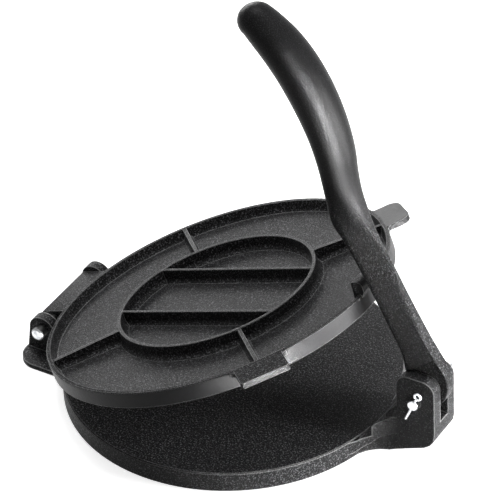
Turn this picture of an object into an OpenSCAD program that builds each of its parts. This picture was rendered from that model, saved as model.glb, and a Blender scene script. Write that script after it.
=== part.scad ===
// Cast-iron tortilla press: base casting, hinged top plate, lever handle, two
// clevis pins and their split pins. Millimetres, Z up.
// X runs from the plate hinge (-X) to the lever (+X), Y along both pins.
// The plate is drawn closed and then swung open by open_angle; the lever is
// drawn where it leans against the plate's press lug at that opening.

/* [Plates] */
// radius of the top plate's rim
top_r = 127; // [110:0.5:140]
// height of the top plate from pressing face to rim top
top_h = 12.5; // [9:0.1:18]
// thickness of the rim wall at its top
rim_t = 3.2; // [2:0.1:6]
// how much thicker the rim wall is at its foot
rim_draft = 2.6; // [0.5:0.1:4]
// depth of the well behind the pressing face, from the rim top
well_depth = 7.8; // [4:0.1:10]
// how far the base disc's edge lies inside the top plate's rim
base_inset = 6; // [0:0.1:10]
// height of the base disc
base_h = 15.8; // [12:0.1:24]
// thickness of the base disc's pressing wall
base_wall = 6; // [4:0.1:10]
// thickness of the base's skirt
skirt_t = 5; // [3:0.1:9]
// edge break on the outside of both plates
edge_c = 0.8; // [0.3:0.1:1.5]

/* [Stiffening pattern] */
// outer radius of the raised ring
ring_r = 73.5; // [55:0.5:90]
// thickness of the ring, bars and ribs at the top
rib_t = 3; // [2:0.1:5]
// height of the ring's top above the rim top
ring_rise = 2.4; // [0:0.1:5]
// distance of each cross bar from the centre line
bar_y = 27.5; // [15:0.5:40]
// angle of the ribs from the centre line
rib_a = 45; // [38:0.1:52]
// angle of the rib beside the near tab from the centre line
rib_near_a = 43.8; // [38:0.1:52]

/* [Lifting tabs] */
// width of the far tab
tab_w = 32.5; // [22:0.5:45]
// width of the near tab
tab_near_w = 34.5; // [22:0.5:45]
// reach of the far tab beyond the rim
tab_out = 17.5; // [10:0.1:26]
// reach of the near tab beyond the rim
tab_near_out = 20.8; // [10:0.1:26]
// thickness of a tab
tab_t = 4.2; // [3:0.1:7]
// angle of the far tab from the centre line
tab_far_a = 49; // [38:0.5:55]
// angle of the near tab from the centre line
tab_near_a = 43.7; // [38:0.1:55]
// corner radius of the far tab
tab_corner = 8; // [1:0.1:12]
// corner radius of the near tab
tab_near_corner = 1.8; // [1:0.1:12]

/* [Plate hinge] */
// distance from the plate's rim to the hinge axis
hinge_back = 9.1; // [8.8:0.1:14]
// height of the hinge axis
hinge_z = 22.0; // [19:0.1:24]
// opening of the top plate as drawn
open_angle = 20; // [17:0.5:22]
// reach of the plate's knuckle from the middle, far side
knuckle_far = 30.2; // [24:0.1:36]
// gap between the knuckle and the near ear
knuckle_gap = 7.7; // [0.5:0.1:12]
// reach of the knuckle beyond the hinge axis
knuckle_reach = 8.4; // [7:0.1:9.5]
// radius of each hinge ear about the axis
ear_r = 10.4; // [9:0.1:11]
// thickness of each hinge ear
ear_t = 7.5; // [5:0.1:12]
// play between a knuckle or hub and its ears, each side
side_play = 0.5; // [0.3:0.05:1]

/* [Hinge foot] */
// reach of the foot beyond the hinge axis
foot_reach = 14; // [13:0.5:22]
// half width of the foot
foot_half = 56; // [46:0.5:62]
// thickness of the foot
foot_t = 3.6; // [3:0.1:6]

/* [Press lug] */
// width of the press lug
lug_w = 11; // [8:0.1:13]
// height of the lug's top above the rim top
lug_rise = 10; // [8:0.1:13]
// where the lug starts, inside the rim
lug_in = 6.5; // [5.5:0.1:14]
// radius of the lug's nose
lug_nose = 4.4; // [3:0.1:6]
// reach of the nose beyond the rim
lug_reach = 3; // [0.5:0.1:3.4]

/* [Lever bracket] */
// distance from the plate's rim to the lever pin
pin_back = 26.8; // [25:0.1:30]
// height of the lever pin
pin_z = 48.6; // [46:0.1:51]
// half width of the bracket over its ears
yoke_half = 14.5; // [12:0.1:18]
// half width of a bracket ear seen from the side
yoke_r = 14.5; // [13:0.1:16]
// height of the ear's top above the pin
yoke_top = 19.4; // [17:0.1:20]
// height of the floor between the ears
yoke_floor = 31; // [24:0.5:31.5]
// half thickness of the lever's tongue
tongue_half = 4.8; // [3.5:0.1:6]
// gap between the plate's rim and the bracket
yoke_gap = 3.4; // [1:0.1:6]
// radius of the hollow that blends the bracket's foot into the base
neck_r = 26; // [15:1:40]
// reach of the bracket's shoulders along the base's edge
shoulder = 39.4; // [34:0.1:46]

/* [Lever] */
// angle of the straight arm from upright
arm_lean = 27.7; // [24:0.1:30]
// length of the straight arm
arm_run = 73; // [68:0.1:80]
// height of the grip above the straight arm, to the middle of its end
grip_h = 161.7; // [120:0.1:190]
// radius of the lever's heel about the pin
heel_r = 12.6; // [10:0.1:14]
// half width of the arm along its front edge
arm_front = 8; // [6:0.1:9]
// half width of the arm's back edge at its foot
arm_back = 5.6; // [4:0.1:6]
// half width of the arm's back edge below the grip
arm_waist = 2.6; // [1.5:0.1:4]
// radius of the arch that clears the bracket's ears
arch_r = 21.6; // [21:0.1:24]
// depth of the arm
arm_d = 22.4; // [20:0.1:25]
// depth of the grip
grip_d = 27.5; // [22:0.5:30]
// width of the grip
grip_w = 32; // [26:0.5:38]

/* [Pins] */
// radius of both pins
pin_r = 4; // [3.5:0.1:4.5]
// radial running clearance of both pins
pin_fit = 0.08; // [0.03:0.01:0.1]
// length of a pin beyond its bracket's ears
pin_over = 4.6; // [4.2:0.1:7]
// wire radius of a split pin's leg
wire_r = 0.9; // [0.7:0.05:1.1]
// radius of the split pin's eye, to the middle of its wire
eye_r = 2.3; // [2:0.1:2.6]
// gap between the pin and the split pin's eye
eye_gap = 1.9; // [0.8:0.1:2.4]
// length of a split pin's legs from the pin's axis
leg_len = 15; // [11:0.5:17]
// length of the far split pin's legs
leg_far = 20.5; // [14:0.5:24]

/* [Hidden] */
base_r = top_r - base_inset;           // radius of the base disc
hinge_x = top_r + hinge_back;          // distance from the centre to the hinge axis
pin_x = top_r + pin_back;              // distance from the centre to the lever pin
yoke_x0 = top_r + yoke_gap;            // front of the bracket
lug_x0 = top_r - lug_in;               // inner end of the lug
top_z0 = base_h + 0.3;                 // pressing face of the closed plate
rim_z = top_z0 + top_h;                // rim top of the closed plate
well_z = rim_z - well_depth;           // floor of the well
ring_z = rim_z + ring_rise;            // top of ring and bars
ear_in = knuckle_far + side_play;      // inner face of a hinge ear
hinge_out = ear_in + ear_t;            // outer face of a hinge ear
knuckle_near = ear_in - knuckle_gap;   // reach of the knuckle, near side
tongue_end = tongue_half + side_play;  // inner face of a bracket ear
neck_x = base_r + 19.6;                // where the bracket's cheeks become straight
rim_gap = 0.6;                         // bracket clear of the closed plate's rim
split_y = pin_over / 2;                // split pin's place beyond an ear
head_t = 7;                            // hinge pin beyond the near ear
split_near = 203;                      // turn of each split pin about its pin
split_far = 37;
split_hinge = 82;
foot_k = yoke_r / 14.5;                     // the lever's foot follows the bracket's ears
grip_k = grip_h / 161.7;                    // the grip's curve follows its height
arm0 = [pin_x - 5 * foot_k, pin_z + 36.6 * foot_k];       // foot of the straight arm
arm1 = arm0 + 0.568 * arm_run * [-sin(arm_lean), cos(arm_lean)];
arm2 = arm0 + arm_run * [-sin(arm_lean), cos(arm_lean)];
// stations of the grip's middle line from the top of the arm: x, z, lean from upright
grip = [[-13.4, 22.1, 19], [-20.8, 44.7, 15], [-27.6, 74.1, 15], [-37.2, 106.1, 22],
  [-51.4, 132.7, 35], [-70, 151.3, 49], [-84.6, 161.7, 55]];
foot_run = 24 * foot_k;                     // arm below its foot, before it is cut to shape

// a cylinder along Y at x, z between two y values
module along_y(x, z, r, y0, y1)
  translate([x, y1, z]) rotate([90, 0, 0])
    cylinder(r = r, h = y1 - y0, $fn = 72);

// a side profile in X and Z, drawn out along Y between two y values
module side(y0, y1)
  translate([0, y1, 0]) rotate([90, 0, 0]) linear_extrude(height = y1 - y0) children();

// a disc with broken edges
module disc(r, z0, h, c)
  rotate_extrude($fn = 180)
    polygon([[0, z0], [r - c, z0], [r, z0 + c], [r, z0 + h - c], [r - c, z0 + h], [0, z0 + h]]);

// moves the plate from closed to the opening as drawn
module opened()
  translate([-hinge_x, 0, hinge_z]) rotate([0, -open_angle, 0])
    translate([hinge_x, 0, -hinge_z]) children();

module bracket_side()
  union() {
    polygon([
      [base_r - 12, 0], [pin_x - 20.2, 0], [pin_x + 6.2, 11.2], [pin_x + 10.8, 14.6],
      [pin_x + 13.6, 18.6], [pin_x + yoke_r, 23.6], [pin_x + yoke_r, pin_z],
      [pin_x - yoke_r, pin_z], [pin_x - yoke_r, 42], [yoke_x0 + 2, 33.5],
      [yoke_x0, 30], [yoke_x0, base_h - 0.6], [base_r - 12, base_h - 0.6]
    ]);
    translate([pin_x - yoke_r, pin_z - 1]) square([2 * yoke_r, yoke_top + 1 - 9]);
    for (s = [-1, 1])
      translate([pin_x + s * (yoke_r - 9), pin_z + yoke_top - 9]) circle(r = 9, $fn = 72);
    translate([pin_x - yoke_r + 9, pin_z]) square([2 * yoke_r - 18, yoke_top]);
  }

// plan of the bracket's foot: straight cheeks that flare into the base disc
module foot_plan()
  difference() {
    translate([base_r - 12, -yoke_half - 18]) square([neck_x + 17 - base_r, 2 * yoke_half + 36]);
    for (s = [-1, 1]) {
      translate([neck_x, s * (yoke_half + neck_r)]) circle(r = neck_r, $fn = 96);
      translate([neck_x, s > 0 ? yoke_half : -yoke_half - 2 * neck_r]) square([60, 2 * neck_r]);
    }
  }

// plan of the shoulders above the foot: they run out further along the base's edge
function bend(a, b, c, d, t) =
  pow(1 - t, 3) * a + 3 * pow(1 - t, 2) * t * b + 3 * (1 - t) * t * t * c + t * t * t * d;
shoulder_line = [for (t = [0:1/14:1.001]) bend([neck_x, yoke_half], [neck_x - 10.2, yoke_half],
  [base_r + 1.3, shoulder - 10.4], [sqrt(base_r * base_r - shoulder * shoulder), shoulder], t)];
module shoulder_plan()
  for (s = [-1, 1]) scale([1, s])
    polygon(concat([[base_r - 12, 0], [neck_x + 5, 0], [neck_x + 5, yoke_half]],
      shoulder_line, [[base_r - 12, shoulder]]));

// the shoulders seen from the side: their lower edge overhangs the foot
module shoulder_side()
  polygon([[base_r - 12, 4], [base_r - 4, 5.5], [base_r - 1, 7.4], [base_r + 1.2, 8.9],
    [base_r + 4, 9.6], [base_r + 6.6, 12.4], [base_r + 11.4, 13.8], [base_r + 18, 16],
    [neck_x, 16.3], [neck_x + 5, 16.3], [neck_x + 5, 30.6], [neck_x, 30.3],
    [base_r + 15.9, 29.5], [base_r + 9.8, 27.2], [base_r + 6.8, 26], [base_r + 4.2, 24.5],
    [base_r + 1, 21.5], [base_r - 2, base_h - 0.5], [base_r - 12, base_h - 0.5]]);

module base() color([0.13, 0.13, 0.13])
  difference() {
    union() {
      disc(base_r, 0, base_h, edge_c);
      // lever bracket: two cheeks on a common foot
      side(-yoke_half, yoke_half) bracket_side();
      intersection() {
        side(-yoke_half - 18, yoke_half + 18)
          polygon([[base_r - 12, 0], [pin_x - 20.2, 0], [neck_x + 4, 4.5], [neck_x + 4, 17],
            [base_r - 12, base_h - 1]]);
        linear_extrude(height = 60) foot_plan();
      }
      difference() {
        intersection() {
          side(-shoulder - 2, shoulder + 2) shoulder_side();
          linear_extrude(height = 60) shoulder_plan();
        }
        translate([0, 0, base_h]) cylinder(r = top_r + rim_gap, h = 40, $fn = 180);
      }
      // hinge ears on their foot
      for (s = [-1, 1]) {
        y0 = s > 0 ? ear_in : -hinge_out;
        along_y(-hinge_x, hinge_z, ear_r, y0, y0 + ear_t);
        side(y0, y0 + ear_t)
          polygon([[-hinge_x - foot_reach + 0.5, 0], [-base_r + 14, 0], [-base_r + 14, base_h - 1],
            [-hinge_x + ear_r + 2, base_h - 1], [-hinge_x + ear_r, base_h + 1],
            [-hinge_x + ear_r, hinge_z], [-hinge_x - ear_r, hinge_z]]);
      }
      difference() {
        union() {
          translate([-hinge_x - foot_reach, -foot_half + 16, 0])
            cube([60, 2 * foot_half - 32, foot_t]);
          translate([-hinge_x - foot_reach + 16, -foot_half, 0])
            cube([44, 2 * foot_half, foot_t]);
          for (s = [-1, 1])
            translate([-hinge_x - foot_reach + 16, s * (foot_half - 16), 0])
              cylinder(r = 16, h = foot_t, $fn = 96);
        }
        cylinder(r = base_r - 3, h = 3 * foot_t, center = true, $fn = 180);
      }
    }
    // hollow under the pressing wall
    difference() {
      translate([0, 0, -1]) cylinder(r = base_r - skirt_t, h = base_h - base_wall + 1, $fn = 180);
      for (a = [0, 60, 120])
        rotate([0, 0, a]) translate([-base_r, -rib_t / 2, 2]) cube([2 * base_r, rib_t, base_h]);
      translate([0, 0, 2]) cylinder(r = 34, h = base_h, $fn = 96);
      translate([0, 0, -2]) cylinder(r = 12, h = base_h, $fn = 96);
      translate([base_r - 24, -yoke_half - 2, -2]) cube([30, 2 * yoke_half + 4, base_h + 2]);
      for (s = [-1, 1])
        translate([-base_r, s > 0 ? ear_in : -hinge_out, -2]) cube([18, ear_t, base_h + 2]);
    }
    difference() {
      translate([0, 0, -1]) cylinder(r = 34 - rib_t, h = base_h - base_wall + 1, $fn = 96);
      translate([0, 0, -2]) cylinder(r = 12, h = base_h, $fn = 96);
    }
    // slot for the lever's tongue
    translate([yoke_x0 - 10, -tongue_end, yoke_floor]) cube([60, 2 * tongue_end, 60]);
    // bores
    along_y(-hinge_x, hinge_z, pin_r + pin_fit, -hinge_out - 1, hinge_out + 1);
    along_y(pin_x, pin_z, pin_r + pin_fit, -yoke_half - 1, yoke_half + 1);
  }

// section of a rib or bar standing on the well's floor, its flared foot scaled by f
module rib_section(h, f)
  polygon([[-rib_t / 2 - 3 * f, -0.6 * f], [rib_t / 2 + 3 * f, -0.6 * f],
    [rib_t / 2 + 0.9 * f, 1.4 * f], [rib_t / 2 + 0.1 * f, 3 * f], [rib_t / 2 - 0.2, h - 0.4],
    [rib_t / 2 - 0.6, h], [-rib_t / 2 + 0.6, h], [-rib_t / 2 + 0.2, h - 0.4],
    [-rib_t / 2 - 0.1 * f, 3 * f], [-rib_t / 2 - 0.9 * f, 1.4 * f]]);

// one rib from the ring down to the rim
module rib()
  intersection() {
    translate([ring_r - 1.5, 0, well_z]) rotate([90, 0, 90])
      linear_extrude(height = top_r - rim_t + 1.4 - ring_r) rib_section(ring_z - well_z - 0.4, 0.87);
    side(-10, 10)
      polygon([[ring_r - 3, well_z - 2], [top_r - rim_t, well_z - 2], [top_r - 1.6, well_z + 1],
        [top_r - 1.6, rim_z - 0.5], [ring_r - 1.5, ring_z - 0.4], [ring_r - 3, ring_z - 0.3]]);
  }

// a lifting tab of width w at angle a, its end at radius r, its corners rounded by c
module tab(a, w, r, c)
  rotate([0, 0, a]) difference() {
    union() {
      translate([top_r - 6, -w / 2, rim_z - tab_t]) cube([r - c - top_r + 6, w, tab_t]);
      translate([top_r - 6, -w / 2 + c, rim_z - tab_t]) cube([r - top_r + 6, w - 2 * c, tab_t]);
      for (s = [-1, 1])
        translate([r - c, s * (w / 2 - c), rim_z - tab_t]) cylinder(r = c, h = tab_t, $fn = 72);
      // small hollows blend the tab into the rim
      difference() {
        translate([top_r - 6, -w / 2 - 3, rim_z - tab_t + 0.3]) cube([7.6, w + 6, tab_t - 1]);
        for (s = [-1, 1])
          translate([top_r + 2.2, s * (w / 2 + 3), rim_z]) cylinder(r = 3, h = 20, center = true, $fn = 48);
      }
    }
    cylinder(r = top_r - 3, h = 200, center = true, $fn = 180);
  }

module top_plate() color([0.13, 0.13, 0.13]) opened()
  difference() {
    union() {
      // dished plate: pressing wall and drafted rim
      rotate_extrude($fn = 180)
        polygon([[0, top_z0], [top_r - edge_c, top_z0], [top_r, top_z0 + edge_c],
          [top_r, rim_z - 0.6], [top_r - 0.6, rim_z], [top_r - rim_t + 0.4, rim_z],
          [top_r - rim_t, rim_z - 0.4], [top_r - rim_t - rim_draft * 0.6, well_z + 1.6],
          [top_r - rim_t - rim_draft, well_z], [0, well_z]]);
      // raised ring
      rotate_extrude($fn = 180)
        translate([ring_r - rib_t / 2, well_z]) rib_section(ring_z - well_z, 1);
      // two bars across the ring
      intersection() {
        for (s = [-1, 1])
          translate([-ring_r, s * bar_y, well_z]) rotate([90, 0, 90])
            linear_extrude(height = 2 * ring_r) rib_section(ring_z - well_z - 0.2, 0.87);
        cylinder(r = ring_r - 1.2, h = 100, $fn = 180);
      }
      for (a = [rib_a, -rib_near_a, 180 - rib_a, 180 + rib_a]) rotate([0, 0, a]) rib();
      tab(tab_far_a, tab_w, top_r + tab_out, tab_corner);
      tab(-tab_near_a, tab_near_w, top_r + tab_near_out, tab_near_corner);
      // hinge knuckle, nearly flush with the rim
      difference() {
        along_y(-hinge_x, hinge_z, knuckle_reach, -knuckle_near, knuckle_far);
        translate([-hinge_x - 20, -60, rim_z - 0.5]) cube([40, 120, 20]);
      }
      difference() {
        side(-knuckle_near, knuckle_far)
          polygon([[-hinge_x - knuckle_reach + 0.3, hinge_z], [-hinge_x - knuckle_reach + 0.3, rim_z - 1.2],
            [-hinge_x - knuckle_reach + 1.1, rim_z - 0.3], [-top_r + 12, rim_z - 0.3],
            [-top_r + 12, top_z0 + 1.5], [-hinge_x + 3, hinge_z - knuckle_reach + 1.2]]);
        cylinder(r = top_r - 1.7, h = 60, $fn = 180);
      }
      // press lug standing on the rim
      side(-lug_w / 2, lug_w / 2)
        polygon([[lug_x0 - 2, well_z - 1], [lug_x0, rim_z - 1], [lug_x0 + 0.8, rim_z + lug_rise - 1],
          [lug_x0 + 1.8, rim_z + lug_rise],
          [top_r + lug_reach - lug_nose, rim_z + lug_rise], [top_r + lug_reach - 0.2, rim_z + 6],
          [top_r + lug_reach - 0.2, rim_z + 2], [top_r - 1.4, rim_z - 4], [top_r - 1.4, well_z - 1]]);
      along_y(top_r + lug_reach - lug_nose, rim_z + lug_rise - lug_nose, lug_nose,
        -lug_w / 2, lug_w / 2);
    }
    along_y(-hinge_x, hinge_z, pin_r + pin_fit, -knuckle_near - 1, knuckle_far + 1);
  }

// section of the arm: a wedge, wide at the front edge
module wedge(d, f, b)
  polygon([[-d / 2, -f + 2.5], [-d / 2 + 2.5, -f], [d / 2 - 1.5, -b], [d / 2, -b + 1.4],
    [d / 2, b - 1.4], [d / 2 - 1.5, b], [-d / 2 + 2.5, f], [-d / 2, f - 2.5]]);

// thin slice of the arm at a point of its middle line
module wedge_slice(p, d, f, b)
  translate([p[0], 0, p[1]]) rotate([0, -arm_lean, 0]) linear_extrude(height = 0.4) wedge(d, f, b);

// thin slice of the grip at station i: an oval
module oval_slice(i, d, w)
  translate([arm2[0] + grip_k * grip[i][0], 0, arm2[1] + grip_k * grip[i][1]]) rotate([0, -grip[i][2], 0])
    linear_extrude(height = 0.4) scale([d / 2, w / 2]) circle(r = 1, $fn = 40);

module lever() color([0.13, 0.13, 0.13])
  difference() {
    union() {
      // tongue between the bracket's ears, and its heel
      side(-tongue_half, tongue_half) translate([pin_x, pin_z])
        polygon(foot_k * [[0, -12.6], [7, -10.6], [15, -1.8], [18.8, 5.4], [20, 12], [19, 19],
          [14.9, 26.6], [10.4, 32.8], [3, 44], [-7.8, 63.4], [-19.3, 42.4], [-11.6, 24.4],
          [-11.6, 13.9], [-12.6, 0]]);
      along_y(pin_x, pin_z, heel_r, -tongue_half, tongue_half);
      // straight arm, bent upright at its foot and arched over the ears
      difference() {
        union() {
          translate([arm0[0] + foot_run * sin(arm_lean), 0, arm0[1] - foot_run * cos(arm_lean)])
            rotate([0, -arm_lean, 0]) linear_extrude(height = foot_run + 0.568 * arm_run + 0.3)
              wedge(arm_d, arm_front, arm_back - 0.6);
          translate([pin_x - 12.3 * foot_k + arm_d / 2, 0, pin_z + 11.4 * foot_k])
            linear_extrude(height = 17 * foot_k) wedge(arm_d, arm_front - 0.3, arm_back - 0.9);
        }
        side(-20, 20) translate([pin_x, pin_z])
          polygon(foot_k * [[-24, 1.4], [-15.8, 11.4], [-12.3, 15.4], [-5.4, 20.9], [-2.2, 23.6],
            [5, 28.8], [26, 44.9], [26, 1.4]]);
        along_y(pin_x, pin_z, arch_r, -20, 20);
      }
      hull() {
        wedge_slice(arm1, arm_d, arm_front, arm_back - 0.6);
        wedge_slice(arm2, arm_d, arm_front + 0.6, arm_waist);
      }
      hull() {
        wedge_slice(arm2, arm_d, arm_front + 0.6, arm_waist);
        oval_slice(0, grip_d - 3, grip_w - 11);
      }
      hull() { oval_slice(0, grip_d - 3, grip_w - 11); oval_slice(1, grip_d - 3, grip_w - 6); }
      hull() { oval_slice(1, grip_d - 3, grip_w - 6); oval_slice(2, grip_d - 1, grip_w - 2); }
      hull() { oval_slice(2, grip_d - 1, grip_w - 2); oval_slice(3, grip_d, grip_w); }
      hull() { oval_slice(3, grip_d, grip_w); oval_slice(4, grip_d, grip_w); }
      hull() {
        oval_slice(4, grip_d, grip_w);
        oval_slice(5, grip_d - 2.5, grip_w - 3);
        translate([arm2[0] + grip_k * grip[6][0], 0, arm2[1] + grip_k * grip[6][1]]) scale([1, 1.1, 1])
          sphere(r = grip_d * 0.356, $fn = 28);
      }
    }
    along_y(pin_x, pin_z, pin_r + pin_fit, -20, 20);
  }

// a clevis pin along Y with broken ends
module pin(x, z, y0, y1)
  translate([x, y1, z]) rotate([90, 0, 0]) rotate_extrude($fn = 72)
    polygon([[0, 0], [pin_r - 0.6, 0], [pin_r, 0.6], [pin_r, y1 - y0 - 0.6],
      [pin_r - 0.6, y1 - y0], [0, y1 - y0]]);

// hole for a split pin, across the pin at y, turned by a about Y
module split_hole(x, z, y, a)
  translate([x, y, z]) rotate([0, a, 0])
    cylinder(r = wire_r * 1.9, h = 30, center = true, $fn = 36);

// a split pin: eye on one side of the pin, two legs through it and n past its axis
module split_pin(x, z, y, a, n)
  translate([x, y, z]) rotate([0, a, 0]) {
    translate([0, 0, -pin_r - eye_r - eye_gap]) rotate([90, 0, 0])
      rotate_extrude($fn = 48) translate([eye_r, 0]) circle(r = wire_r, $fn = 24);
    for (s = [-1, 1])
      translate([0, s * wire_r * 0.86, -pin_r - eye_gap - 0.7])
        cylinder(r = wire_r, h = pin_r + eye_gap + 0.7 + n - (s > 0 ? 1.5 : 0), $fn = 24);
  }

module hinge_pin() color([0.75, 0.76, 0.78])
  difference() {
    union() {
      pin(-hinge_x, hinge_z, -hinge_out - 0.2, hinge_out + pin_over);
      translate([-hinge_x, -hinge_out, hinge_z]) rotate([90, 0, 0]) rotate_extrude($fn = 72)
        polygon([[0, 0], [pin_r + 0.9, 0], [pin_r + 0.9, head_t - 1.2], [pin_r - 0.1, head_t - 0.2],
          [pin_r - 1.6, head_t], [0, head_t]]);
    }
    split_hole(-hinge_x, hinge_z, hinge_out + split_y, split_hinge);
  }

module hinge_split_pin() color([0.75, 0.76, 0.78])
  split_pin(-hinge_x, hinge_z, hinge_out + split_y, split_hinge, leg_len - 2);

module lever_pin() color([0.75, 0.76, 0.78])
  difference() {
    pin(pin_x, pin_z, -yoke_half - pin_over, yoke_half + pin_over);
    split_hole(pin_x, pin_z, -yoke_half - split_y, split_near);
    split_hole(pin_x, pin_z, yoke_half + split_y, split_far);
  }

module lever_split_pin_near() color([0.75, 0.76, 0.78])
  split_pin(pin_x, pin_z, -yoke_half - split_y, split_near, leg_len);

module lever_split_pin_far() color([0.75, 0.76, 0.78])
  split_pin(pin_x, pin_z, yoke_half + split_y, split_far, leg_far);

base();
top_plate();
lever();
hinge_pin();
hinge_split_pin();
lever_pin();
lever_split_pin_near();
lever_split_pin_far();
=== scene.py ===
"""Looks of the cast-iron tortilla press: materials, a smooth lever, light and camera."""

import math

import bpy
import bmesh
from mathutils import Matrix, Vector


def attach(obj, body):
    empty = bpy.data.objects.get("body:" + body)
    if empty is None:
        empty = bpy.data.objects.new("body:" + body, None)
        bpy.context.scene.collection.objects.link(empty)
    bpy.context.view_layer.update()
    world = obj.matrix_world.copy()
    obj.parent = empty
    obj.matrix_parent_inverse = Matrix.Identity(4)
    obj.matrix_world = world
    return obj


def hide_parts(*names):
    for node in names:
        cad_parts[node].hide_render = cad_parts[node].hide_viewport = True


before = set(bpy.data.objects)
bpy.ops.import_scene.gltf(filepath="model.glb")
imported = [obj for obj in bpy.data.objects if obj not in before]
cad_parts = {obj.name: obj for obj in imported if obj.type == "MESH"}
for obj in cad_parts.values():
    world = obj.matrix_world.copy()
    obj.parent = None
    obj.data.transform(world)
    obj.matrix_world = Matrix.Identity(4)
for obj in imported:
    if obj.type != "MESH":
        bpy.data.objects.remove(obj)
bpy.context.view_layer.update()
MM = 0.001


def put(name, data):
    """A new object that holds data, in the scene."""
    thing = bpy.data.objects.new(name, data)
    bpy.context.scene.collection.objects.link(thing)
    return thing


# ---------------------------------------------------------------- camera
# solved from the plates, ribs, bars and pins in the photo
AZIMUTH, ELEVATION, ROLL = (math.radians(a) for a in (32.33, 36.45, -2.76))
FOCAL_PIXELS, FRAME_PIXELS, SENSOR = 3454.5, 500, 36
TARGET = Vector((18.28, 0.17, 120.99)) * MM
DISTANCE = 2.3643


def view_axes(azimuth, elevation, roll):
    """Right, up and forward of a camera that looks along +Y at azimuth 0."""
    right = Vector((math.cos(azimuth), math.sin(azimuth), 0))
    ahead = Vector((-math.sin(azimuth) * math.cos(elevation),
                    math.cos(azimuth) * math.cos(elevation), -math.sin(elevation)))
    up = right.cross(ahead)
    return (math.cos(roll) * right + math.sin(roll) * up,
            -math.sin(roll) * right + math.cos(roll) * up, ahead)


def add_camera():
    right, up, ahead = view_axes(AZIMUTH, ELEVATION, ROLL)
    data = bpy.data.cameras.new("camera")
    data.sensor_width = SENSOR
    data.lens = FOCAL_PIXELS / FRAME_PIXELS * data.sensor_width
    data.clip_start, data.clip_end = 0.1, 50
    cam = put("camera", data)
    turned = Matrix((right, up, -ahead)).transposed()
    cam.matrix_world = Matrix.Translation(TARGET - DISTANCE * ahead) @ turned.to_4x4()
    bpy.context.scene.camera = cam


add_camera()


# ---------------------------------------------------------------- node helpers
def map_range(tree, fac, low, high, from_low=0.0, from_high=1.0):
    """fac carried from one range to another, and held at its ends."""
    node = tree.nodes.new("ShaderNodeMapRange")
    node.inputs["From Min"].default_value = from_low
    node.inputs["From Max"].default_value = from_high
    node.inputs["To Min"].default_value = low
    node.inputs["To Max"].default_value = high
    tree.links.new(fac, node.inputs["Value"])
    return node.outputs["Result"]


def seen_directly(tree):
    """1 for what the camera or a reflection sees, 0 for light that bounces on."""
    path = tree.nodes.new("ShaderNodeLightPath")
    seen = tree.nodes.new("ShaderNodeMath")
    seen.operation = "MAXIMUM"
    tree.links.new(path.outputs["Is Camera Ray"], seen.inputs[0])
    tree.links.new(path.outputs["Is Glossy Ray"], seen.inputs[1])
    return seen.outputs[0]


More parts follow.
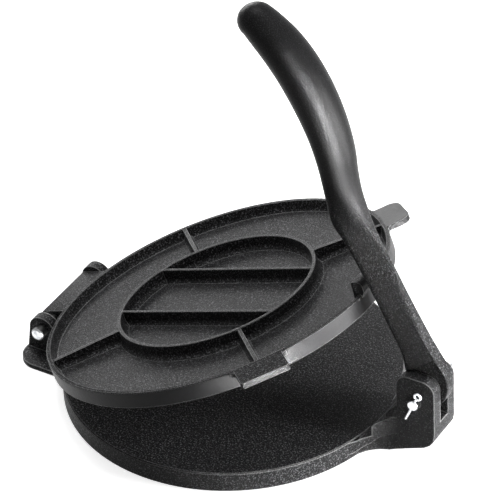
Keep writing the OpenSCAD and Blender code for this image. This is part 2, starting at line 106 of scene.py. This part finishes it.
class Nodes:
    """Short names for building one material's nodes."""

    def __init__(self, name):
        self.mat = bpy.data.materials.new(name)
        self.mat.use_nodes = True
        self.tree = self.mat.node_tree
        self.bsdf = self.tree.nodes["Principled BSDF"]
        self.place = self.add("ShaderNodeTexCoord").outputs["Object"]
        self.normal = self.add("ShaderNodeNewGeometry").outputs["Normal"]

    def add(self, kind, **settings):
        node = self.tree.nodes.new(kind)
        for key, value in settings.items():
            setattr(node, key, value)
        return node

    def feed(self, socket, value):
        """Set a socket to a number, vector or colour, or link it to another node."""
        if isinstance(value, (int, float, tuple)):
            socket.default_value = value
        else:
            self.tree.links.new(value, socket)

    def noise(self, scale, detail=3.0, rough=0.55, stretch=None):
        place = self.place
        if stretch:
            mapping = self.add("ShaderNodeMapping")
            mapping.inputs["Scale"].default_value = stretch
            self.feed(mapping.inputs["Vector"], place)
            place = mapping.outputs["Vector"]
        node = self.add("ShaderNodeTexNoise")
        for key, value in (("Scale", scale), ("Detail", detail), ("Roughness", rough),
                           ("Vector", place)):
            self.feed(node.inputs[key], value)
        return node.outputs["Fac"]

    def ramp(self, fac, stops):
        node = self.add("ShaderNodeValToRGB")
        while len(node.color_ramp.elements) < len(stops):
            node.color_ramp.elements.new(0.5)
        for element, (at, colour) in zip(node.color_ramp.elements, stops):
            element.position = at
            element.color = colour
        self.feed(node.inputs["Fac"], fac)
        return node.outputs["Color"]

    def span(self, fac, low, high, from_low=0.0, from_high=1.0):
        return map_range(self.tree, fac, low, high, from_low, from_high)

    def mix(self, fac, a, b, blend="MIX"):
        node = self.add("ShaderNodeMix", data_type="RGBA", blend_type=blend)
        for socket, value in zip((node.inputs[0], node.inputs[6], node.inputs[7]), (fac, a, b)):
            self.feed(socket, value)
        return node.outputs[2]

    def bump(self, height, strength, distance, normal):
        node = self.add("ShaderNodeBump")
        for key, value in (("Strength", strength), ("Distance", distance), ("Height", height),
                           ("Normal", normal)):
            self.feed(node.inputs[key], value)
        return node.outputs["Normal"]

    def rounded(self, radius):
        node = self.add("ShaderNodeBevel", samples=6)
        node.inputs["Radius"].default_value = radius
        return node.outputs["Normal"]

    def product(self, *factors):
        """All the factors multiplied together."""
        result = factors[0]
        for factor in factors[1:]:
            node = self.add("ShaderNodeMath", operation="MULTIPLY")
            self.feed(node.inputs[0], result)
            self.feed(node.inputs[1], factor)
            result = node.outputs["Value"]
        return result

    def dot(self, a, b):
        node = self.add("ShaderNodeVectorMath", operation="DOT_PRODUCT")
        self.feed(node.inputs[0], a)
        self.feed(node.inputs[1], b)
        return node.outputs["Value"]

    def axis(self, vector, letter):
        node = self.add("ShaderNodeSeparateXYZ")
        self.feed(node.inputs[0], vector)
        return node.outputs[letter]

    def disc_place(self, pivot, angle, reach):
        """Radius, X and Y in a disc turned by angle about pivot, its centre reach ahead."""
        turned = self.add("ShaderNodeMapping", vector_type="TEXTURE")
        turned.inputs["Location"].default_value = pivot
        turned.inputs["Rotation"].default_value = (0, angle, 0)
        self.feed(turned.inputs["Vector"], self.place)
        flat = self.add("ShaderNodeVectorMath", operation="MULTIPLY_ADD")
        for socket, value in zip(flat.inputs, (turned.outputs["Vector"], (1, 1, 0),
                                               (-reach, 0, 0))):
            self.feed(socket, value)
        flat = flat.outputs["Vector"]
        length = self.add("ShaderNodeVectorMath", operation="LENGTH")
        self.feed(length.inputs[0], flat)
        return length.outputs["Value"], self.axis(flat, "X"), self.axis(flat, "Y")


# ---------------------------------------------------------------- cast iron
GRAIN, LUMPS = 0.9, 0.10     # strength of the sandy grain and of the coarser lumps
GRAIN_DEPTH = 0.0010
GRIP_HEIGHTS = (0.155, 0.205)            # where the lever's grain fades into the polished grip
PLATE_PIVOT = (-0.1361, 0, 0.022)        # the plate's hinge axis
PLATE_REACH = 0.1361                     # from the axis to the plate's centre
PLATE_TILT = math.radians(-20)           # the plate as it stands open
PLATE_UP = (math.sin(PLATE_TILT), 0, math.cos(PLATE_TILT))
GROUND_FROM = (0.1256, 0.1266)           # radii where the plate's edge turns smooth
CLEAR_OF_HINGE = (-0.118, -0.105)        # X from which it does, past the hinge web
RIM_TOP_FROM = (0.1215, 0.1230)          # radii where the top of the rim begins
NEAR_SIDE = (-0.03, 0.03)                # Y over which near turns into far


def grey(level):
    return (level, level, level * 1.02, 1)


def polished_grip(n, tint):
    """Tint, grain and lumps of the lever, where hands have worn its grip smooth."""
    height = n.axis(n.place, "Z")
    dust = n.noise(1500, 2.0, 0.6)
    dark = n.ramp(dust, [(0.42, grey(0.005)), (0.56, grey(0.008)), (0.70, grey(0.03))])
    return (n.mix(n.span(height, 0.0, 1.0, *GRIP_HEIGHTS), tint, dark),
            n.span(height, GRAIN, 0.26, *GRIP_HEIGHTS),
            n.span(height, LUMPS, 0.03, *GRIP_HEIGHTS))


def ground_edge(n, tint, sheen):
    """Tint, grain and sheen of the plate: a ground edge, and painted shade on the near side's
    up-facing rim and tab tops, which get less sheen and no ground finish so they read darker.
    """
    radius, ahead, across = n.disc_place(PLATE_PIVOT, PLATE_TILT, PLATE_REACH)
    # painted shade: up-facing tops on the near side lose most of their sheen and keep the sandy
    # tint
    shaded_near_top = n.product(n.span(n.dot(n.normal, PLATE_UP), 0.0, 1.0, 0.6, 0.9),
                     n.span(across, 1.0, 0.0, *NEAR_SIDE),
                     n.span(radius, 0.0, 1.0, *RIM_TOP_FROM))
    smooth = n.product(n.span(radius, 0.0, 1.0, *GROUND_FROM),
                       n.span(ahead, 0.0, 1.0, *CLEAR_OF_HINGE),
                       n.span(shaded_near_top, 1.0, 0.0))
    return (n.mix(smooth, tint, grey(0.016)), n.span(smooth, GRAIN, 0.12),
            n.span(shaded_near_top, sheen, sheen * 0.15))


def cast_iron(name, rough=0.38, edge=0.0008, sheen=0.07, part=None):
    """Black seasoned iron: sandy grain, uneven oil sheen, and a pale painted highlight along its
    edges, whose rounding is edge (m).
    """
    n = Nodes(name)
    sand = n.noise(880, 3.0, 0.68)
    coarse = n.noise(400, 3.0, 0.6)
    patches = n.noise(16, 3.0, 0.5)
    tint = n.ramp(sand, [(0.40, grey(0.004)), (0.55, grey(0.018)), (0.66, grey(0.19))])
    grain, lumps = GRAIN, LUMPS
    if part == "grip":
        tint, grain, lumps = polished_grip(n, tint)
    if part == "plate":
        tint, grain, sheen = ground_edge(n, tint, sheen)
    tone = n.ramp(patches, [(0.3, grey(0.8)), (0.7, grey(1.0))])
    # painted highlight: where the rounded normal leaves the true one, on convex and concave edges
    # alike, the colour is painted pale
    round_edge = n.rounded(edge)
    edge_highlight = n.span(n.dot(round_edge, n.normal), 1.0, 0.0, 0.80, 0.985)
    colour = n.mix(edge_highlight, n.mix(1.0, tint, tone, "MULTIPLY"), (0.46, 0.46, 0.46, 1))
    fine = n.bump(sand, grain, GRAIN_DEPTH, round_edge)
    for key, value in (("Base Color", colour), ("Metallic", 0.0),
                       ("Roughness", n.span(coarse, rough - 0.08, rough + 0.12)),
                       ("Specular IOR Level", sheen),
                       ("Normal", n.bump(coarse, lumps, GRAIN_DEPTH, fine))):
        n.feed(n.bsdf.inputs[key], value)
    return n.mat


def steel(name, rough=0.38, stretch=(1, 30, 1), dark_side=False):
    """Bright zinc-plated steel with faint drawn lines and dull spots.

    dark_side: for a pin along Y, the shank is coloured near black where its normal turns away
    from the axis, and only the end faces keep the steel colour.
    """
    n = Nodes(name)
    lines = n.noise(900, 2.0, 0.5, stretch)
    spots = n.noise(260, 3.0, 0.6)
    colour = n.ramp(spots, [(0.3, (0.34, 0.35, 0.37, 1)), (0.7, (0.72, 0.73, 0.74, 1))])
    if dark_side:
        along = n.add("ShaderNodeMath", operation="ABSOLUTE")
        n.feed(along.inputs[0], n.axis(n.normal, "Y"))
        end = n.span(along.outputs["Value"], 0.0, 1.0, 0.60, 0.90)
        colour = n.mix(end, (0.06, 0.06, 0.06, 1), colour)
    for key, value in (("Base Color", colour), ("Metallic", 1.0),
                       ("Roughness", n.span(lines, rough - 0.06, rough + 0.14)),
                       ("Normal", n.bump(lines, 0.08, 0.0003, n.rounded(0.0005)))):
        n.feed(n.bsdf.inputs[key], value)
    return n.mat


PLATE_IRON = cast_iron("iron_sand_cast", part="plate")
BASE_IRON = cast_iron("iron_sand_cast_base", edge=0.0017, sheen=0.05)
GRIP_IRON = cast_iron("iron_lever", rough=0.33, sheen=0.055, part="grip")
PIN_STEEL = steel("zinc_pin", dark_side=True)
WIRE_STEEL = steel("zinc_wire", stretch=(1, 1, 20))

LOOKS = {
    "base": BASE_IRON, "top_plate": PLATE_IRON, "lever": GRIP_IRON,
    "hinge_pin": PIN_STEEL, "lever_pin": PIN_STEEL,
    "hinge_split_pin": WIRE_STEEL, "lever_split_pin_near": WIRE_STEEL,
    "lever_split_pin_far": WIRE_STEEL,
}
for node_name, material in LOOKS.items():
    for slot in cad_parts[node_name].material_slots:
        slot.material = material


# ---------------------------------------------------------------- lever
# from the foot to the tip: x, z, lean from upright, half depth, half width at the
# front, half width at the back (mm), squareness of the section
LEVER = [
    (152.7, 74.1, 38.0, 14.0, 7.9, 5.2, 6.0),
    (148.8, 85.2, 28.5, 11.4, 8.0, 5.1, 5.5),
    (139.2, 103.9, 27.7, 11.4, 8.0, 4.0, 5.0),
    (129.8, 122.1, 27.7, 11.5, 8.1, 3.1, 4.6),
    (122.3, 136.9, 28.0, 11.9, 8.4, 2.1, 4.4),
    (114.8, 150.9, 27.5, 11.9, 8.8, 1.6, 4.3),
    (107.0, 164.4, 26.0, 12.1, 9.4, 3.0, 4.0),
    (99.3, 177.0, 23.0, 13.2, 10.6, 6.8, 3.3),
    (94.7, 192.0, 18.0, 12.3, 12.2, 10.0, 2.5),
    (91.6, 207.0, 14.5, 12.3, 13.9, 12.7, 2.1),
    (88.7, 223.0, 14.0, 13.0, 15.0, 14.7, 2.05),
    (84.2, 239.0, 16.5, 13.6, 16.0, 16.0, 2.0),
    (78.0, 254.8, 22.0, 14.2, 16.7, 16.7, 2.0),
    (70.2, 270.1, 30.0, 14.7, 16.9, 16.9, 2.0),
    (61.0, 284.4, 38.0, 14.7, 16.7, 16.7, 2.0),
    (50.1, 297.2, 46.0, 14.4, 15.9, 15.9, 2.0),
    (38.6, 307.2, 51.5, 13.4, 14.3, 14.3, 2.0),
    (32.4, 312.0, 54.0, 12.4, 13.2, 13.2, 2.0),
]
RING = 80                    # points round a section
STEPS = 6                    # sections between two stations
TIP_REACH, TIP_BOW, TIP_RINGS = 12.6, 0.9, 9
FOOT_SHIFT, FOOT_ROUND = (0.35, -0.5), 0.9


def catmull(a, b, c, d, t):
    """Smooth value at t between b and c, given the values on either side of them."""
    return 0.5 * ((2 * b) + (c - a) * t + (2 * a - 5 * b + 4 * c - d) * t * t
                  + (3 * b - a - 3 * c + d) * t ** 3)


def power(value, n):
    """A superellipse's sine or cosine."""
    return math.copysign(abs(value) ** (2 / n), value)


def section(x, z, lean, deep, front, back, square):
    """One ring of points around the lever."""
    lean = math.radians(lean)
    across = Vector((math.cos(lean), 0, math.sin(lean)))
    ring = []
    for i in range(RING):
        angle = 2 * math.pi * (i + 0.5) / RING
        u, v = power(math.cos(angle), square), power(math.sin(angle), square)
        width = front + (back - front) * (u + 1) / 2
        ring.append((Vector((x, 0, z)) + across * (u * deep) + Vector((0, v * width, 0))) * MM)
    return ring


def lever_stations():
    """The table above, smoothed, with a small round at the foot and a rounded tip."""
    stations = []
    for i in range(len(LEVER) - 1):
        around = (LEVER[max(i - 1, 0)], LEVER[i], LEVER[i + 1], LEVER[min(i + 2, len(LEVER) - 1)])
        for step in range(STEPS):
            stations.append([catmull(*values, step / STEPS) for values in zip(*around)])
    x, z, lean, deep, front, back, _ = LEVER[-1]
    ahead_x, ahead_z = -math.sin(math.radians(lean)), math.cos(math.radians(lean))
    for k in range(TIP_RINGS):
        turn = math.pi / 2 * k / TIP_RINGS
        run, bow, size = TIP_REACH * math.sin(turn), TIP_BOW * math.sin(turn), math.cos(turn)
        stations.append([x + ahead_x * run - bow, z + ahead_z * run - bow, lean,
                         deep * size, front * size, back * size, 2.0])
    x, z, lean, deep, front, back, square = stations[0]
    stations.insert(0, [x + FOOT_SHIFT[0], z + FOOT_SHIFT[1], lean, deep - FOOT_ROUND,
                        front - FOOT_ROUND, back - FOOT_ROUND, square])
    return stations


def lever_arm():
    """The arm and grip: a loft through the stations, closed at both ends."""
    mesh = bmesh.new()
    rings = [[mesh.verts.new(p) for p in section(*s)] for s in lever_stations()]
    for low, high in zip(rings, rings[1:]):
        for i in range(RING):
            j = (i + 1) % RING
            mesh.faces.new((low[i], low[j], high[j], high[i]))
    mesh.faces.new(list(reversed(rings[0])))
    mesh.faces.new(rings[-1])
    bmesh.ops.recalc_face_normals(mesh, faces=mesh.faces)
    data = bpy.data.meshes.new("lever_arm")
    mesh.to_mesh(data)
    mesh.free()
    for polygon in data.polygons:
        polygon.use_smooth = len(polygon.vertices) == 4
    return put("lever_arm", data)


# the tongue about the lever pin's axis (mm)
PIN = Vector((153.8, 48.6))
HEEL = 12.6                  # radius of the heel's arc
HEEL_FROM, HEEL_TURN, HEEL_POINTS = 180, 165, 15
BORE, BORE_POINTS = 4.08, 48
TONGUE_HALF = 4.8
TONGUE_BEVEL = 0.7
TONGUE = [(15, -1.8), (17.4, 1.6), (19.0, 6.2), (19.9, 12), (19.2, 18.2), (17.4, 22.6),
          (14.6, 26.6), (10.1, 32.8), (2.7, 44), (-8, 62), (-19, 42), (-12.0, 24.4),
          (-11.8, 18.0), (-11.9, 13.9), (-12.6, 6)]


def arc(radius, angles):
    return [(radius * math.cos(a), radius * math.sin(a)) for a in angles]


def lever_tongue():
    """The flat tongue with its heel, bored for the pin, edges broken."""
    curve = bpy.data.curves.new("lever_tongue", "CURVE")
    curve.dimensions = "2D"
    curve.fill_mode = "BOTH"
    outline = TONGUE + arc(HEEL, [math.radians(HEEL_FROM + HEEL_TURN * k / HEEL_POINTS)
                                  for k in range(1, HEEL_POINTS)])
    hole = arc(BORE, [2 * math.pi * k / BORE_POINTS for k in range(BORE_POINTS)])
    for points, grow in ((outline, -TONGUE_BEVEL), (hole, 0)):
        spline = curve.splines.new("POLY")
        spline.points.add(len(points) - 1)
        for target, (x, z) in zip(spline.points, points):
            length = math.hypot(x, z)
            k = (length + grow) / length
            target.co = ((PIN.x + x * k) * MM, (PIN.y + z * k) * MM, 0, 1)
        spline.use_cyclic_u = True
    curve.extrude = (TONGUE_HALF - TONGUE_BEVEL) * MM
    curve.bevel_depth = TONGUE_BEVEL * MM
    curve.bevel_resolution = 2
    flat = put("tongue_outline", curve)
    bpy.context.view_layer.update()
    data = bpy.data.meshes.new_from_object(flat)
    bpy.data.objects.remove(flat)
    data.transform(Matrix.Rotation(math.pi / 2, 4, "X"))
    return put("lever_tongue", data)


for piece in (lever_arm(), lever_tongue()):
    piece.data.materials.clear()
    piece.data.materials.append(GRIP_IRON)
    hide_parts("lever")
    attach(piece, "lever")


# ---------------------------------------------------------------- studio
FLOOR_HALF, FLOOR_DROP = 6, 0.0003
WHITE = (1, 1, 1, 1)
# what the backdrop sends on to the press, where the camera sees white
FLOOR_BOUNCE, FLOOR_SEEN, FLOOR_GLOW = (0.10, 0.10, 0.10, 1), (0.8, 0.8, 0.8, 1), 0.80
WORLD_FILL = 0.06
# name: place, aim and size (m), power (W), lights reflections only, spread (degrees)
LAMPS = {
    "key_low": ((1.25, 0.30, 0.15), (0.10, 0, 0.12), (0.5, 0.24), 58, False, 180),
    "strip_right": ((1.27, -0.62, 0.20), (0.09, 0, 0.245), (0.20, 0.34), 4.2, True, 20),
    "strip_low": ((0.50, -0.29, 0.0085), (0.29, 0.16, 0.0085), (0.52, 0.012), 19, True, 180),
    "back_low": ((-1.1, 0.95, 0.50), (0.05, 0, 0.05), (0.9, 0.45), 17, False, 180),
    "top_soft": ((-0.2, 0.3, 2.0), (0, 0, 0.05), (1.0, 1.0), 34, False, 180),
}


def backdrop_material():
    """White to the camera and in reflections, with the press's soft shadow."""
    n = Nodes("studio_white")
    seen = seen_directly(n.tree)
    for key, value in (("Base Color", n.mix(seen, FLOOR_BOUNCE, FLOOR_SEEN)), ("Roughness", 0.9),
                       ("Specular IOR Level", 0.0), ("Emission Color", WHITE),
                       ("Emission Strength", n.span(seen, 0.0, FLOOR_GLOW))):
        n.feed(n.bsdf.inputs[key], value)
    return n.mat


def add_floor():
    mesh = bmesh.new()
    bmesh.ops.create_grid(mesh, x_segments=8, y_segments=8, size=FLOOR_HALF)
    data = bpy.data.meshes.new("studio_floor")
    mesh.to_mesh(data)
    mesh.free()
    data.materials.append(backdrop_material())
    floor = put("studio_floor", data)
    floor.location.z = -FLOOR_DROP


def add_world():
    bpy.context.scene.view_settings.view_transform = "Standard"
    world = bpy.data.worlds.new("studio")
    bpy.context.scene.world = world
    world.use_nodes = True
    tree = world.node_tree
    back = tree.nodes["Background"]
    tree.links.new(map_range(tree, seen_directly(tree), WORLD_FILL, 1.0), back.inputs["Strength"])
    back.inputs["Color"].default_value = WHITE


def add_lamp(name, place, aim, size, watts, sheen_only, spread):
    data = bpy.data.lights.new(name, "AREA")
    data.shape = "RECTANGLE"
    data.size, data.size_y = size
    data.energy = watts
    data.spread = math.radians(spread)
    lamp = put(name, data)
    lamp.location = place
    lamp.rotation_euler = (Vector(aim) - Vector(place)).to_track_quat("-Z", "Y").to_euler()
    lamp.visible_camera = False
    lamp.visible_diffuse = not sheen_only


add_floor()
add_world()
for lamp_name, settings in LAMPS.items():
    add_lamp(lamp_name, *settings)
